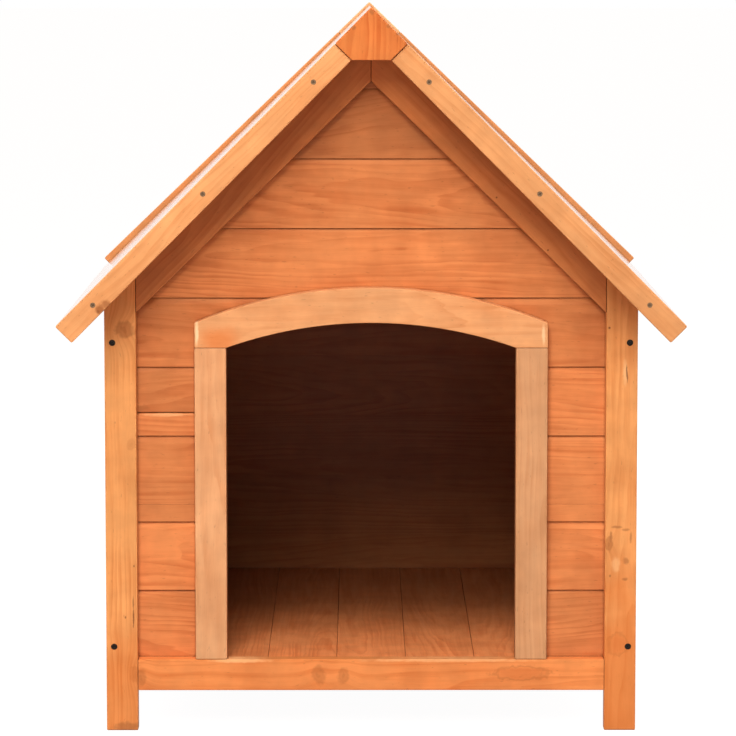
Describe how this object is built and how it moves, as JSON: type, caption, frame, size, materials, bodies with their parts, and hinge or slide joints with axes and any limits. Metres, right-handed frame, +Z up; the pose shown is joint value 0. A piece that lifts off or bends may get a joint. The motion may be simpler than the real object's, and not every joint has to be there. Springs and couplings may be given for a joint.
{
  "type": "dog house",
  "caption": "Wooden dog house with an arched doorway, tongue and groove walls and a boarded gable roof, standing on short legs.",
  "frame": {"origin": "on the ground, below the centre of the overall box", "axes": "+Z up, the doorway looks to -Y, and +X is on the right of somebody who looks at the doorway"},
  "size_m": [0.705, 0.85, 0.8261],
  "materials": {
    "frame": "honey-orange stained softwood, satin varnish",
    "siding": "orange-brown stained tongue and groove boards, satin varnish",
    "barge": "light honey stained softwood, satin varnish",
    "casing": "pale honey stained softwood, satin varnish",
    "roof": "orange-brown stained boards, gloss varnish",
    "floor": "orange-brown stained boards",
    "batten": "stained sawn softwood",
    "screw": "zinc plated countersunk head, dulled"
  },
  "bodies": {
    "root": {"barge_screws": "screw", "corner_screws": "screw", "door_arch": "casing", "floor_boards": "floor", "floor_screws": "screw", "front_bottom_rail": "frame", "front_floor_bearer": "batten", "front_gable_board_1": "siding", "front_gable_board_2": "siding", "front_gable_board_3": "siding", "front_gable_board_4": "siding", "front_header_board": "siding", "front_left_barge_board": "barge", "front_left_fly_rafter": "batten", "front_left_gable_rail": "frame", "front_left_post": "frame", "front_left_rafter": "batten", "front_left_siding": "siding", "front_ridge_block": "barge", "front_right_barge_board": "barge", "front_right_fly_rafter": "batten", "front_right_gable_rail": "frame", "front_right_post": "frame", "front_right_rafter": "batten", "front_right_siding": "siding", "front_sill_strip": "siding", "left_bottom_rail": "frame", "left_door_jamb": "casing", "left_front_stile": "frame", "left_rear_stile": "frame", "left_roof_boards": "roof", "left_siding": "siding", "left_top_rail": "frame", "middle_floor_bearer": "batten", "rear_bottom_rail": "frame", "rear_floor_bearer": "batten", "rear_gable_siding": "siding", "rear_left_barge_board": "barge", "rear_left_fly_rafter": "batten", "rear_left_gable_rail": "frame", "rear_left_post": "frame", "rear_left_rafter": "batten", "rear_ridge_block": "barge", "rear_right_barge_board": "barge", "rear_right_fly_rafter": "batten", "rear_right_gable_rail": "frame", "rear_right_post": "frame", "rear_right_rafter": "batten", "rear_wall_siding": "siding", "right_bottom_rail": "frame", "right_door_jamb": "casing", "right_front_stile": "frame", "right_rear_stile": "frame", "right_roof_boards": "roof", "right_siding": "siding", "right_top_rail": "frame"}
  },
  "joints": []
}
